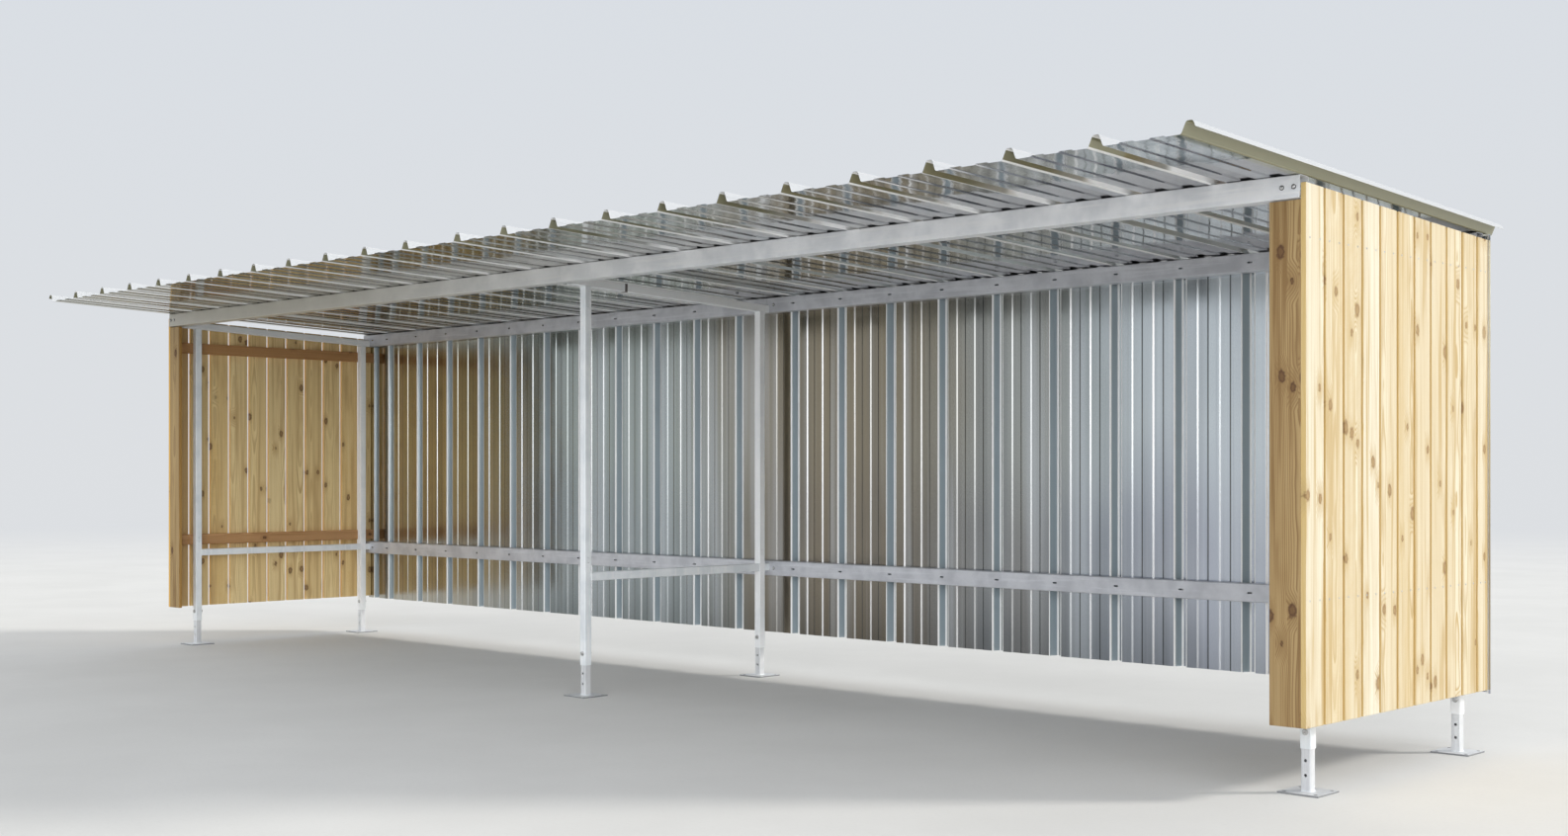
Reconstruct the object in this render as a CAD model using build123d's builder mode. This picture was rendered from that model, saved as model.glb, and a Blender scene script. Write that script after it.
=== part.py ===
from build123d import *
import os
from math import atan, ceil, copysign, cos, radians, sin, sqrt, tan

# Open bicycle shelter: three steel frames of square tube carry a profiled sheet roof and rear wall.
# The sides are boarded. X runs along the shelter, the open front faces -Y, Z = 0 is the ground.
# All lengths are in millimetres, angles in degrees.

# Layout of the frames
bay = 3780
post_spacing = 1200

# Roof: height of the sheets' underside above the front posts, fall to the rear and overhangs
roof_height = 2062
roof_fall = 2.2
front_overhang = 900
rear_overhang = 185
rafter_drop = 42

# Square tube of the frames
tube = 40
tube_wall = 2
tube_corner = 2.5

# Adjustable feet
foot_tube = 35
foot_tube_top = 420
foot_plate = 150
foot_plate_thickness = 6
anchor_spacing = 115
anchor_radius = 7
height_holes = (60, 110)
height_hole_radius = 5.5

# Posts
post_bottom = 150

# Lipped channel of the purlins and the wall rail
channel_depth = 78
channel_flange = 60
channel_lip = 15
channel_gauge = 2
channel_joint = 2

# Where the channels lie
front_purlin_reach = 160
rear_rail_reach = 50
wall_rail_top = 610
tie_height = 577

# Trapezoidal profiled sheet
sheet_gauge = 0.75
rib_pitch = 333.33
rib_base = 56
rib_top = 22
rib_height = 40
ribs_per_sheet = 3
stiffener_spacing = 109
stiffener_base = 57
stiffener_top = 45
stiffener_height = 4
lap_clearance = 0.05
short_web = 20
joggle_run = 8

# Roof sheets: the outermost rib of each half covers the boards, and the halves lap flat mid way
verge_cover = 10.63
roof_joint_lap = 60

# Rear wall sheets: the right half is laid from its outer end, the left half from the flat lap
wall_bottom = 225
wall_head_gap = 3
wall_side_cover = 9
wall_last_rib_inset = 41.37
wall_first_rib_left = 265
wall_joint_edge = 174
wall_joint_lap = 90

# Narrow sheet that makes up the left end of the rear wall
strip_width = 203
strip_rib_inset = 93
strip_lap = 70

# Boarded sides
board_width = 122
board_gap = 15
board_thickness = 20
board_bottom = 238
board_head_gap = 27
board_front_reach = 155
board_end_gap = 2
corner_board_width = 114
corner_head_gap = 4
side_rail_width = 34
side_rail_height = 64
side_rail_heights = (658, 1860)

# Places that follow from the sizes above
front_y = (front_overhang - post_spacing - rear_overhang) / 2
rear_y = front_y + post_spacing
rail_front_y = rear_y + rear_rail_reach
wall_y = rail_front_y + channel_flange
side_inner = bay + tube / 2 + side_rail_width
side_outer = side_inner + board_thickness
board_front_y = front_y - board_front_reach
board_rear_y = wall_y - board_end_gap
wall_end = side_outer + wall_side_cover
strip_edge = wall_end - strip_width
lap_growth = sheet_gauge + lap_clearance
rib_angle = atan(2 * rib_height / (rib_base - rib_top))

# The slope: the roof plane is the sheets' underside, its Y axis runs down to the rear
tilt = radians(roof_fall)
roof = Plane(origin=(0, front_y, roof_height), x_dir=(1, 0, 0), z_dir=(0, sin(tilt), cos(tilt)))
roof_side = Plane(origin=roof.origin, x_dir=roof.y_dir, z_dir=(1, 0, 0))
rafter_underside = roof.offset(-rafter_drop - tube)


def roof_z(y):
    """Height of the roof sheets' underside at a place along Y."""
    return roof_height - (y - front_y) * tan(tilt)


def roof_section(distance):
    """Plane square to the slope, seen from the front, at a distance down from the front posts."""
    return Plane(origin=roof.origin + roof.y_dir * distance, x_dir=(1, 0, 0), z_dir=-roof.y_dir)


def save(piece, label):
    """Name a finished piece and write its file."""
    piece.part.label = label
    export_step(piece.part, f"parts/{label}.step")


def tube_section(size):
    """Square hollow section with eased corners, about the present location."""
    across_corners = (size - tube_corner) * sqrt(2)
    bore = size - 2 * tube_wall
    Rectangle(size, size)
    Rectangle(across_corners, across_corners, rotation=45, mode=Mode.INTERSECT)
    Rectangle(bore, bore, mode=Mode.SUBTRACT)


def make_foot(x, y, label):
    """Base plate with four anchor holes, and the inner tube that slides in the post."""
    with BuildPart() as foot:
        with BuildSketch(Plane.XY):
            with Locations((x, y)):
                Rectangle(foot_plate, foot_plate)
                with GridLocations(anchor_spacing, anchor_spacing, 2, 2):
                    Circle(anchor_radius, mode=Mode.SUBTRACT)
        extrude(amount=foot_plate_thickness)
        with BuildSketch(Plane.XY.offset(foot_plate_thickness)):
            with Locations((x, y)):
                tube_section(foot_tube)
        extrude(amount=foot_tube_top - foot_plate_thickness)
        with BuildSketch(Plane.XZ.offset(foot_tube / 2 - y)):
            for height in height_holes:
                with Locations((x, height)):
                    Circle(height_hole_radius)
        extrude(amount=-foot_tube, mode=Mode.SUBTRACT)
    save(foot, label)


def make_post(x, y, label):
    """Outer tube over the foot, cut to the slope under the rafter."""
    with BuildPart() as post:
        with BuildSketch(Plane.XY.offset(post_bottom)):
            with Locations((x, y)):
                tube_section(tube)
        extrude(amount=roof_height - post_bottom)
        split(bisect_by=rafter_underside, keep=Keep.BOTTOM)
    save(post, label)


def make_tie(x, label):
    """Tube between the two posts, and the stub behind the rear post that carries the wall rail."""
    spans = ((front_y + tube / 2, rear_y - tube / 2), (rear_y + tube / 2, rail_front_y))
    with BuildPart() as tie:
        for start, end in spans:
            with BuildSketch(Plane.XZ.offset(-start)):
                with Locations((x, tie_height)):
                    tube_section(tube)
            extrude(amount=start - end)
    save(tie, label)


def make_rafter(x, label):
    """Tube down the slope, from the lips of the front purlin to the web of the rear one."""
    start = channel_flange - front_purlin_reach
    beyond_purlin = post_spacing + rear_rail_reach + channel_flange
    with BuildPart() as rafter:
        with BuildSketch(roof_section(start)):
            with Locations((x, -rafter_drop - tube / 2)):
                tube_section(tube)
        extrude(amount=start - beyond_purlin)
        split(bisect_by=Plane.XZ.offset(-rail_front_y), keep=Keep.TOP)
    save(rafter, label)


def make_channel(section, front, top, label):
    """Lipped channel, web at the front and lips at the rear, in two lengths that meet mid way."""
    rear = front + channel_flange
    bottom = top - channel_depth
    with BuildPart() as channel:
        for start in (-side_inner, channel_joint / 2):
            with BuildSketch(section.offset(start)):
                with BuildLine():
                    Polyline(
                        (rear, bottom + channel_lip),
                        (rear, bottom),
                        (front, bottom),
                        (front, top),
                        (rear, top),
                        (rear, top - channel_lip),
                    )
                    offset(amount=channel_gauge, side=Side.RIGHT, kind=Kind.INTERSECTION)
                make_face()
            extrude(amount=side_inner - channel_joint / 2)
    save(channel, label)


def fold(centre, base, top, height):
    """Four corners of one fold raised from the pan, from left to right."""
    return [
        (centre - base / 2, 0),
        (centre - top / 2, height),
        (centre + top / 2, height),
        (centre + base / 2, 0),
    ]


def edge_fold(centre, growth):
    """The rib along a sheet's lapping edge. Its outer web stops short, and growth is the room it
    leaves for another sheet's rib below it."""
    base = rib_base + 2 * growth / sin(rib_angle)
    top = rib_top + 2 * growth * tan(rib_angle / 2)
    corners = fold(centre, base, top, rib_height + growth)
    free_edge = centre + base / 2 - short_web / tan(rib_angle)
    return corners[:-1] + [(free_edge, short_web)]


def flat_lap(edge, width, over):
    """Flat edge that is lapped at a joint; the sheet that lies over the other one is stepped up."""
    inner = edge + width
    if over:
        return [(edge, lap_growth), (inner, lap_growth), (inner + joggle_run, 0)]
    return [(edge, 0), (inner, 0)]


def sheet_line(ribs, head, tail, edge_rib):
    """Corners of a sheet's underside: its first edge, ribs, pan stiffeners and last edge."""
    corners = head + edge_rib + tail
    for rib in ribs[:-1] if edge_rib else ribs:
        corners += fold(rib, rib_base, rib_top, rib_height)
    start = head[-1][0] if head else min(corners)[0]
    end = tail[0][0] if tail else ribs[-1]
    for pan in [ribs[0] - rib_pitch / 2] + [rib + rib_pitch / 2 for rib in ribs]:
        for centre in (pan - stiffener_spacing / 2, pan + stiffener_spacing / 2):
            if centre - stiffener_base / 2 > start and centre + stiffener_base / 2 < end:
                corners += fold(centre, stiffener_base, stiffener_top, stiffener_height)
    return sorted(corners)


def make_sheet(plane, length, corners, side, label):
    """One sheet: its line, mirrored for the left half, thickened upwards and drawn out."""
    line = [(x * side, height) for x, height in corners][::side]
    with BuildPart() as sheet:
        with BuildSketch(plane):
            with BuildLine():
                Polyline(*line)
                offset(amount=sheet_gauge, side=Side.LEFT, kind=Kind.INTERSECTION)
            make_face()
        extrude(amount=length)
    save(sheet, label)


def rib_centres(start, limit):
    """Rib centres from a first rib as far as a limit, in order from the middle outwards."""
    count = int(abs(limit - start) / rib_pitch) + 1
    step = copysign(rib_pitch, limit - start)
    return sorted(start + number * step for number in range(count))


def make_sheets(plane, length, ribs, head, tail, side, label):
    """The sheets of one half, from the middle outwards; each laps over the next one's first rib.
    The last one keeps its lapping edge if it has no tail."""
    sheet_count = ceil(len(ribs) / ribs_per_sheet)
    for number in range(sheet_count):
        shared_rib = max(0, number * ribs_per_sheet - 1)
        own_ribs = ribs[shared_rib:(number + 1) * ribs_per_sheet]
        lapped = number < sheet_count - 1
        first_edge = head if number == 0 else []
        last_edge = [] if lapped else tail
        edge_rib = [] if last_edge else edge_fold(own_ribs[-1], lap_growth if lapped else 0)
        corners = sheet_line(own_ribs, first_edge, last_edge, edge_rib)
        make_sheet(plane, length, corners, side, f"{label}_{number + 1}")


def make_side(side, name):
    """Boards, timber rails and corner board of one side; side is -1 at the left, 1 at the right."""
    depth = board_rear_y - board_front_y
    pitch = board_width + board_gap
    board_head = roof.offset(-board_head_gap)
    with BuildPart() as boards:
        with BuildSketch(Plane.YZ.offset(side * side_inner)):
            for number in range(ceil(depth / pitch)):
                start = board_front_y + number * pitch
                with Locations((start, board_bottom)):
                    width = min(board_width, board_rear_y - start)
                    Rectangle(width, roof_height - board_bottom, align=(Align.MIN, Align.MIN))
        extrude(amount=side * board_thickness)
        split(bisect_by=board_head, keep=Keep.BOTTOM)
    save(boards, f"side_boards_{name}")

    with BuildPart() as corner_board:
        with BuildSketch(Plane.XZ.offset(-board_front_y)):
            with Locations((side * (side_inner - corner_board_width / 2), board_bottom)):
                Rectangle(corner_board_width, roof_height, align=(Align.CENTER, Align.MIN))
        extrude(amount=-board_thickness)
        split(bisect_by=roof.offset(-channel_depth - corner_head_gap), keep=Keep.BOTTOM)
    save(corner_board, f"corner_board_{name}")

    rail_front = board_front_y + board_thickness
    with BuildPart() as rails:
        with BuildSketch(Plane.XZ.offset(-rail_front)):
            for height in side_rail_heights:
                with Locations((side * (side_inner - side_rail_width / 2), height)):
                    Rectangle(side_rail_width, side_rail_height)
        extrude(amount=rail_front - board_rear_y)
    save(rails, f"side_rails_{name}")


def make_roof():
    """Roof sheets, ribs up. Their ends are square to the slope, so the rib tops lean to the rear."""
    reach = (rib_height + lap_growth + sheet_gauge) * sin(tilt)
    length = (front_overhang + post_spacing + rear_overhang - reach) / cos(tilt)
    plane = roof_section(-front_overhang / cos(tilt))
    ribs = rib_centres(side_outer + verge_cover, roof_joint_lap / 2 + joggle_run + rib_base)
    for side, name in ((-1, "left"), (1, "right")):
        head = flat_lap(-roof_joint_lap / 2, roof_joint_lap, side < 0)
        make_sheets(plane, -length, ribs, head, [], side, f"roof_sheet_{name}")


def make_rear_wall():
    """Rear wall sheets, ribs to the outside, and the narrow sheet at the left end."""
    plane = Plane(origin=(0, wall_y, wall_bottom))
    length = roof_z(wall_y + rib_height) - wall_head_gap - wall_bottom
    end = [(wall_end, 0)]
    lap_inner = wall_joint_edge - wall_joint_lap

    ribs = rib_centres(wall_end - wall_last_rib_inset, rib_base - lap_inner)
    head = flat_lap(-wall_joint_edge, wall_joint_lap, False)
    make_sheets(plane, length, ribs, head, end, 1, "wall_sheet_right")

    ribs = rib_centres(wall_first_rib_left, strip_edge - rib_base / 2)
    head = flat_lap(lap_inner, wall_joint_lap, True)
    tail = flat_lap(strip_edge, strip_lap, False)
    make_sheets(plane, length, ribs, head, tail, -1, "wall_sheet_left")

    head = flat_lap(strip_edge, strip_lap, True)
    strip = sheet_line([wall_end - strip_rib_inset], head, end, [])
    make_sheet(plane, length, strip, -1, "wall_strip_left")


os.makedirs("parts", exist_ok=True)
for frame_x, frame_name in ((-bay, "left"), (0, "middle"), (bay, "right")):
    make_foot(frame_x, front_y, f"foot_{frame_name}_front")
    make_foot(frame_x, rear_y, f"foot_{frame_name}_rear")
    make_post(frame_x, front_y, f"post_{frame_name}_front")
    make_post(frame_x, rear_y, f"post_{frame_name}_rear")
    make_tie(frame_x, f"tie_{frame_name}")
    make_rafter(frame_x, f"rafter_{frame_name}")
make_channel(Plane.YZ, rail_front_y, wall_rail_top, "wall_rail")
make_channel(Plane.YZ, rail_front_y, roof_z(wall_y), "rear_purlin")
make_channel(roof_side, -front_purlin_reach, 0, "front_purlin")
make_side(-1, "left")
make_side(1, "right")
make_rear_wall()
make_roof()
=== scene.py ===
import math
import random

import bmesh
import bpy
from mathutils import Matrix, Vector, noise


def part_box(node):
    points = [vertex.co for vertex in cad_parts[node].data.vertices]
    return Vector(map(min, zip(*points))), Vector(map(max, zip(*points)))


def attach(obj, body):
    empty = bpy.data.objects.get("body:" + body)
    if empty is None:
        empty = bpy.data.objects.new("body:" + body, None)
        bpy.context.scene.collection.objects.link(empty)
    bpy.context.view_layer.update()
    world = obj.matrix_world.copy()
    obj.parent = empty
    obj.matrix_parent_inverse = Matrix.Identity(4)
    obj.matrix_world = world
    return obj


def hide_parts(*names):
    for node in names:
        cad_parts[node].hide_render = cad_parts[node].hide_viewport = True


# Open bicycle shelter, dressed on its fixed frame. X runs along the shelter, the open front faces -Y.
# All lengths are in metres.
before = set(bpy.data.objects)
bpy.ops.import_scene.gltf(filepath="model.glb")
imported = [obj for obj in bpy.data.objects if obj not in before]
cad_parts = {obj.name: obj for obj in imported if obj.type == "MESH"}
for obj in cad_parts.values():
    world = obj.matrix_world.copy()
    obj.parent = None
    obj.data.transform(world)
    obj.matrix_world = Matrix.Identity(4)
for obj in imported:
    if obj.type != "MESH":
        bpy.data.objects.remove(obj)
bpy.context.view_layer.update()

X, Y, Z = Vector((1, 0, 0)), Vector((0, 1, 0)), Vector((0, 0, 1))
SIDES = {"left": -1, "right": 1}
FRAMES = ("left", "middle", "right")

# CAD copies: points this near are one, faces this flat to each other are one, and edges longer than this
# run along a piece
SAME_POINT = 1e-5
SAME_PLANE = math.radians(0.4)
LONG_EDGE = 1.0

# Sheet metal. Tilt is how far a face turns towards X: a swage's flank lies between the two values,
# and a rib's web beyond the second
SHEET_GAUGE = 0.00075
RIB_BEND = 0.0056
STIFFENER_BEND = 0.0016
STEEP_FOLD = math.radians(45)
SWAGE_TILT, WEB_TILT = 0.12, 0.8
LEAST_WEB = 0.005
SHEET_WAVE = 0.0006
SHEET_STATIONS = 14
RIB_APART = 0.1
RIB_TOP = 0.004
RIB_FOOT = 0.006

# Places along X and Y that the finish of the sheets follows
HALF_LENGTH = 3.9
LAST_RIB = (3.70, 3.74)
SIDE_WALL = (3.79, 3.82)
FRONT_PURLIN = (-0.34, -0.26)

# Channels and tubes
CHANNEL_OUTER_BEND = 0.004
CHANNEL_GAUGE = 0.002
TUBE = 0.040
TUBE_EASE = 0.0007
ARRIS_ANGLE, LEAST_ARRIS = 0.5, 0.003
PLATE = 0.006

# Timber
BOARD_ARRIS = 0.002
BOARD_STATIONS = 16
LOG_STEP = 5.7
PITH_ASIDE = 0.09
PITH_DEPTH = (0.02, 0.11)

# Punched slots in the channels, one beside each rib, and drilled holes in the posts
SLOT_LENGTH, SLOT_HEIGHT = 0.024, 0.0072
SLOT_BESIDE_RIB = 0.040
SLOT_FROM_SPLICE, SLOT_FROM_END = 0.1, 0.03
POST_HOLE = 0.0034
POST_HOLE_DEPTH = 0.003
POST_HOLE_HEIGHTS = (0.645, 0.670, 1.880)

# Fasteners, as (radius, height) outlines turned about their axis
HEX_BOLT = ((0.0092, 0), (0.0092, 0.0052), (0.0080, 0.0058), (0, 0.0058))
WASHER = ((0.0112, 0), (0.0112, 0.0014), (0.0106, 0.0018), (0, 0.0018))
NUT_AND_END = ((0.0092, 0), (0.0092, 0.0072), (0.0080, 0.0078), (0.0050, 0.0078), (0.0050, 0.0110),
               (0.0044, 0.0116), (0, 0.0116))
SNAP_HEAD = ((0.0064, 0), (0.0062, 0.0016), (0.0050, 0.0032), (0.0028, 0.0042), (0, 0.0045))
HEAD_SEAT = ((0.0086, 0), (0.0084, 0.0006), (0, 0.0006))
SEAL = ((0.0080, 0), (0.0082, 0.0008), (0.0078, 0.0016), (0, 0.0016))
SCREW_FLANGE = ((0.0074, 0), (0.0072, 0.0008), (0.0054, 0.0014), (0, 0.0014))
SCREW_HEX = ((0.0046, 0), (0.0046, 0.0040), (0.0040, 0.0046), (0, 0.0046))
WOOD_SCREW = ((0.0040, 0), (0.0038, 0.0004), (0.0016, 0.0003), (0.0012, -0.0008), (0, -0.0008))
HEX_SIDES, WOOD_SCREW_SIDES, SCREW_SIDES, ROUND_SIDES = 6, 12, 14, 20

# Where the parts of a fastener sit on each other, and where fasteners sit on the shelter
FLANGE_SEAT, HEX_SEAT, BOLT_SEAT, SNAP_SEAT = 0.0016, 0.0028, 0.0018, 0.0004
SCREW_BESIDE_RIB = 0.050
SCREW_TO_END = 0.012
SCREW_BELOW_TOP = 0.008
WOOD_SCREW_FROM_EDGE = 0.026
FOOT_BOLT_HEIGHT = 0.207
PURLIN_BOLTS = (3.770, 3.813)
SPLICE_BOLT = 0.053

# Weld beads: their own size, and half the squares that they run round
BEAD, SMALL_BEAD = 0.003, 0.0022
BEAD_STEP = 0.0035
BEAD_SIDES = 8
FOOT_WELD, TUBE_WELD = 0.0175, 0.0195
RAFTER_WELD_DEPTH = 0.0006

# The dark sleeve, as (place along the rafter, height over BAND_HALF)
BAND_HALF = 0.0199
BAND = ((-0.008, 0.0003), (-0.0075, 0.0008), (0.0075, 0.0008), (0.008, 0.0003),
        (0.008, -0.0004), (-0.008, -0.0004))

# Colours that more than one surface uses, the soft light and the floor
WHITE = (1.0, 1.0, 1.0)
# OLIVE to OCHRE are tints of painted reflection in the sheets; SLATE is also painted shade on the roof's
# webs
OLIVE, MOSS, BROWN = (0.54, 0.51, 0.40), (0.365, 0.405, 0.38), (0.29, 0.25, 0.18)
SLATE, SKY, ASH = (0.42, 0.46, 0.46), (0.84, 0.90, 0.95), (0.37, 0.365, 0.345)
OCHRE = (0.30, 0.29, 0.19)
BACKDROP = (0.72, 0.74, 0.765)
BACKDROP_TOP = (0.66, 0.72, 0.80)
SOFT_LIGHT = (0.94, 0.97, 1.0)
SOFT_STRENGTH = 0.70
FLOOR_HALF = 60


# Mesh helpers

def box_of(node):
    """Lowest and highest corner of a CAD node."""
    low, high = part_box(node)
    return Vector(low), Vector(high)


def cad_copy(node):
    """A bmesh copy of a CAD node, welded, with each flat face in one piece."""
    bm = bmesh.new()
    bm.from_mesh(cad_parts[node].data)
    bmesh.ops.remove_doubles(bm, verts=bm.verts, dist=SAME_POINT)
    bmesh.ops.dissolve_limit(bm, angle_limit=SAME_PLANE, verts=bm.verts, edges=bm.edges)
    return bm


def add_piece(name, bm, material, slot, *nodes, flat_above=35):
    """Turn a bmesh into a smooth-shaded piece that rides on the shelter and stands for CAD nodes."""
    mesh = bpy.data.meshes.new(name)
    bmesh.ops.recalc_face_normals(bm, faces=bm.faces)
    bm.to_mesh(mesh)
    bm.free()
    mesh.shade_smooth()
    mesh.set_sharp_from_angle(angle=math.radians(flat_above))
    mesh.materials.append(material)
    piece = bpy.data.objects.new(name, mesh)
    bpy.context.scene.collection.objects.link(piece)
    normals = piece.modifiers.new("flat_faces", "WEIGHTED_NORMAL")
    normals.keep_sharp = True
    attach(piece, "root")
    if nodes:
        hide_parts(*nodes)
    return piece


def face_width(face):
    """Width of a long strip, from its area and its longest edge."""
    return face.calc_area() / max(edge.calc_length() for edge in face.edges)


def long_edges(bm):
    """Edges that run along a long piece."""
    return [edge for edge in bm.edges if edge.calc_length() > LONG_EDGE]


def bend_edges(bm, thickness):
    """Long edges at a bend, without those along the thin free edges."""
    return [
        edge for edge in long_edges(bm)
        if len(edge.link_faces) == 2 and min(face_width(face) for face in edge.link_faces) > thickness
    ]


def join_rings(bm, rings):
    """Faces from each ring of points to the next, and from the last to the first."""
    for ring, following in zip(rings, rings[1:] + rings[:1]):
        for number in range(len(ring)):
            after = (number + 1) % len(ring)
            bm.faces.new((ring[number], ring[after], following[after], following[number]))


def turned(bm, centre, axis, outline, sides, material=0):
    """Turn an outline of (radius, height) points about an axis; a radius of 0 closes the end."""
    across = axis.orthogonal().normalized()
    upright = axis.cross(across)
    rings = []
    for radius, height in outline:
        middle = centre + axis * height
        turns = [2 * math.pi * number / sides for number in range(sides if radius else 1)]
        rings.append([bm.verts.new(middle + (across * math.cos(turn) + upright * math.sin(turn)) * radius)
                      for turn in turns])
    if len(rings[0]) > 1:
        bm.faces.new(rings[0]).material_index = material
    for low, high in zip(rings, rings[1:]):
        for number in range(sides):
            following = number + 1
            corners = (low[number % len(low)], low[following % len(low)],
                       high[following % len(high)], high[number % len(high)])
            face = bm.faces.new(list(dict.fromkeys(corners)))
            face.material_index = material


def stadium(bm, centre, along, upright, depth, length, height, turns=6):
    """A closed long-hole cutter with round ends, as deep on both sides of its centre."""
    straight, radius = (length - height) / 2, height / 2
    rings = []
    for side in (-depth, depth):
        ring = []
        for end in (1, -1):
            for number in range(turns + 1):
                turn = math.pi * (number / turns - 0.5)
                reach = along * (straight + radius * math.cos(turn)) + upright * radius * math.sin(turn)
                ring.append(bm.verts.new(centre + reach * end + along.cross(upright) * side))
        rings.append(ring)
    count = len(rings[0])
    for number in range(count):
        following = (number + 1) % count
        bm.faces.new((rings[0][number], rings[0][following], rings[1][following], rings[1][number]))
    for ring in rings:
        bm.faces.new(ring)


def drill(bm, cutters):
    """Cut closed cutters out of a mesh, as a drill or a punch does."""
    solids = []
    for name, part in (("drilled", bm), ("cutters", cutters)):
        bmesh.ops.recalc_face_normals(part, faces=part.faces)
        mesh = bpy.data.meshes.new(name)
        part.to_mesh(mesh)
        part.free()
        solids.append(bpy.data.objects.new(name, mesh))
        bpy.context.scene.collection.objects.link(solids[-1])
    holes = solids[0].modifiers.new("holes", "BOOLEAN")
    holes.object, holes.operation, holes.solver = solids[1], "DIFFERENCE", "EXACT"
    evaluated = solids[0].evaluated_get(bpy.context.evaluated_depsgraph_get())
    result = bmesh.new()
    result.from_mesh(evaluated.to_mesh())
    for solid in solids:
        mesh = solid.data
        bpy.data.objects.remove(solid)
        bpy.data.meshes.remove(mesh)
    return result


def bevel(bm, edges, width, segments):
    """Round edges off and return the new faces."""
    made = bmesh.ops.bevel(bm, geom=edges, offset=width, offset_type="OFFSET", segments=segments,
                           profile=0.5, affect="EDGES", clamp_overlap=True)
    return made["faces"]


# Materials

class Shader:
    """A material's node tree, with short ways to add and join nodes."""

    def __init__(self, name):
        self.material = bpy.data.materials.new(name)
        self.material.use_nodes = True
        self.tree = self.material.node_tree
        self.surface = self.tree.nodes["Principled BSDF"]

    def add(self, kind, inputs=None, **settings):
        node = self.tree.nodes.new(kind)
        for key, value in settings.items():
            setattr(node, key, value)
        for key, value in (inputs or {}).items():
            self.put(node.inputs[key], value)
        return node

    def put(self, socket, value):
        if isinstance(value, bpy.types.NodeSocket):
            self.tree.links.new(value, socket)
        elif isinstance(value, tuple) and socket.type == "RGBA" and len(value) == 3:
            socket.default_value = (*value, 1)
        else:
            socket.default_value = value

    def place(self):
        return self.add("ShaderNodeTexCoord").outputs["Object"]

    def attribute(self, name):
        return self.add("ShaderNodeAttribute", attribute_name=name).outputs["Fac"]

    def scaled(self, vector, scale):
        return self.add("ShaderNodeVectorMath", {0: vector, 1: scale}, operation="MULTIPLY").outputs[0]

    def split(self, vector):
        """The three parts of a vector."""
        return self.add("ShaderNodeSeparateXYZ", {0: vector}).outputs

    def length(self, vector):
        return self.add("ShaderNodeVectorMath", {0: vector}, operation="LENGTH").outputs["Value"]

    def noise(self, vector, scale, detail=2.0, rough=0.5):
        inputs = {"Vector": vector, "Scale": scale, "Detail": detail, "Roughness": rough}
        return self.add("ShaderNodeTexNoise", inputs).outputs["Fac"]

    def math(self, operation, *values):
        return self.add("ShaderNodeMath", dict(enumerate(values)), operation=operation).outputs[0]

    def remap(self, value, low, high, start=0.0, end=1.0, smooth=True):
        inputs = {"Value": value, "From Min": low, "From Max": high, "To Min": start, "To Max": end}
        kind = "SMOOTHSTEP" if smooth else "LINEAR"
        return self.add("ShaderNodeMapRange", inputs, interpolation_type=kind).outputs[0]

    def about_zero(self, value, width):
        """A value from 0 to 1 as one from minus half a width to plus half of it."""
        return self.math("MULTIPLY", self.math("SUBTRACT", value, 0.5), width)

    def ramp(self, value, stops):
        """Colours that follow each other as a value grows, as (position, colour) pairs."""
        node = self.add("ShaderNodeValToRGB", {0: value})
        elements = node.color_ramp.elements
        elements.remove(elements[1])
        for number, (position, colour) in enumerate(stops):
            element = elements.new(position) if number else elements[0]
            element.position = position
            element.color = (*colour, 1)
        return node.outputs[0]

    def mix(self, factor, first, second, blend="MIX"):
        node = self.add("ShaderNodeMix", data_type="RGBA", blend_type=blend)
        self.put(node.inputs[0], factor)
        self.put(node.inputs[6], first)
        self.put(node.inputs[7], second)
        return node.outputs[2]

    def bump(self, height, distance, strength=1.0, normal=None):
        inputs = {"Height": height, "Distance": distance, "Strength": strength}
        if normal is not None:
            inputs["Normal"] = normal
        return self.add("ShaderNodeBump", inputs).outputs[0]

    def finish(self, **inputs):
        for key, value in inputs.items():
            self.put(self.surface.inputs[key.replace("_", " ")], value)
        return self.material


def stretched(along, share):
    """Scale of a noise whose grain is drawn out along a direction, the more the larger the share."""
    return tuple(Vector((1, 1, 1)) - share * along)


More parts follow.
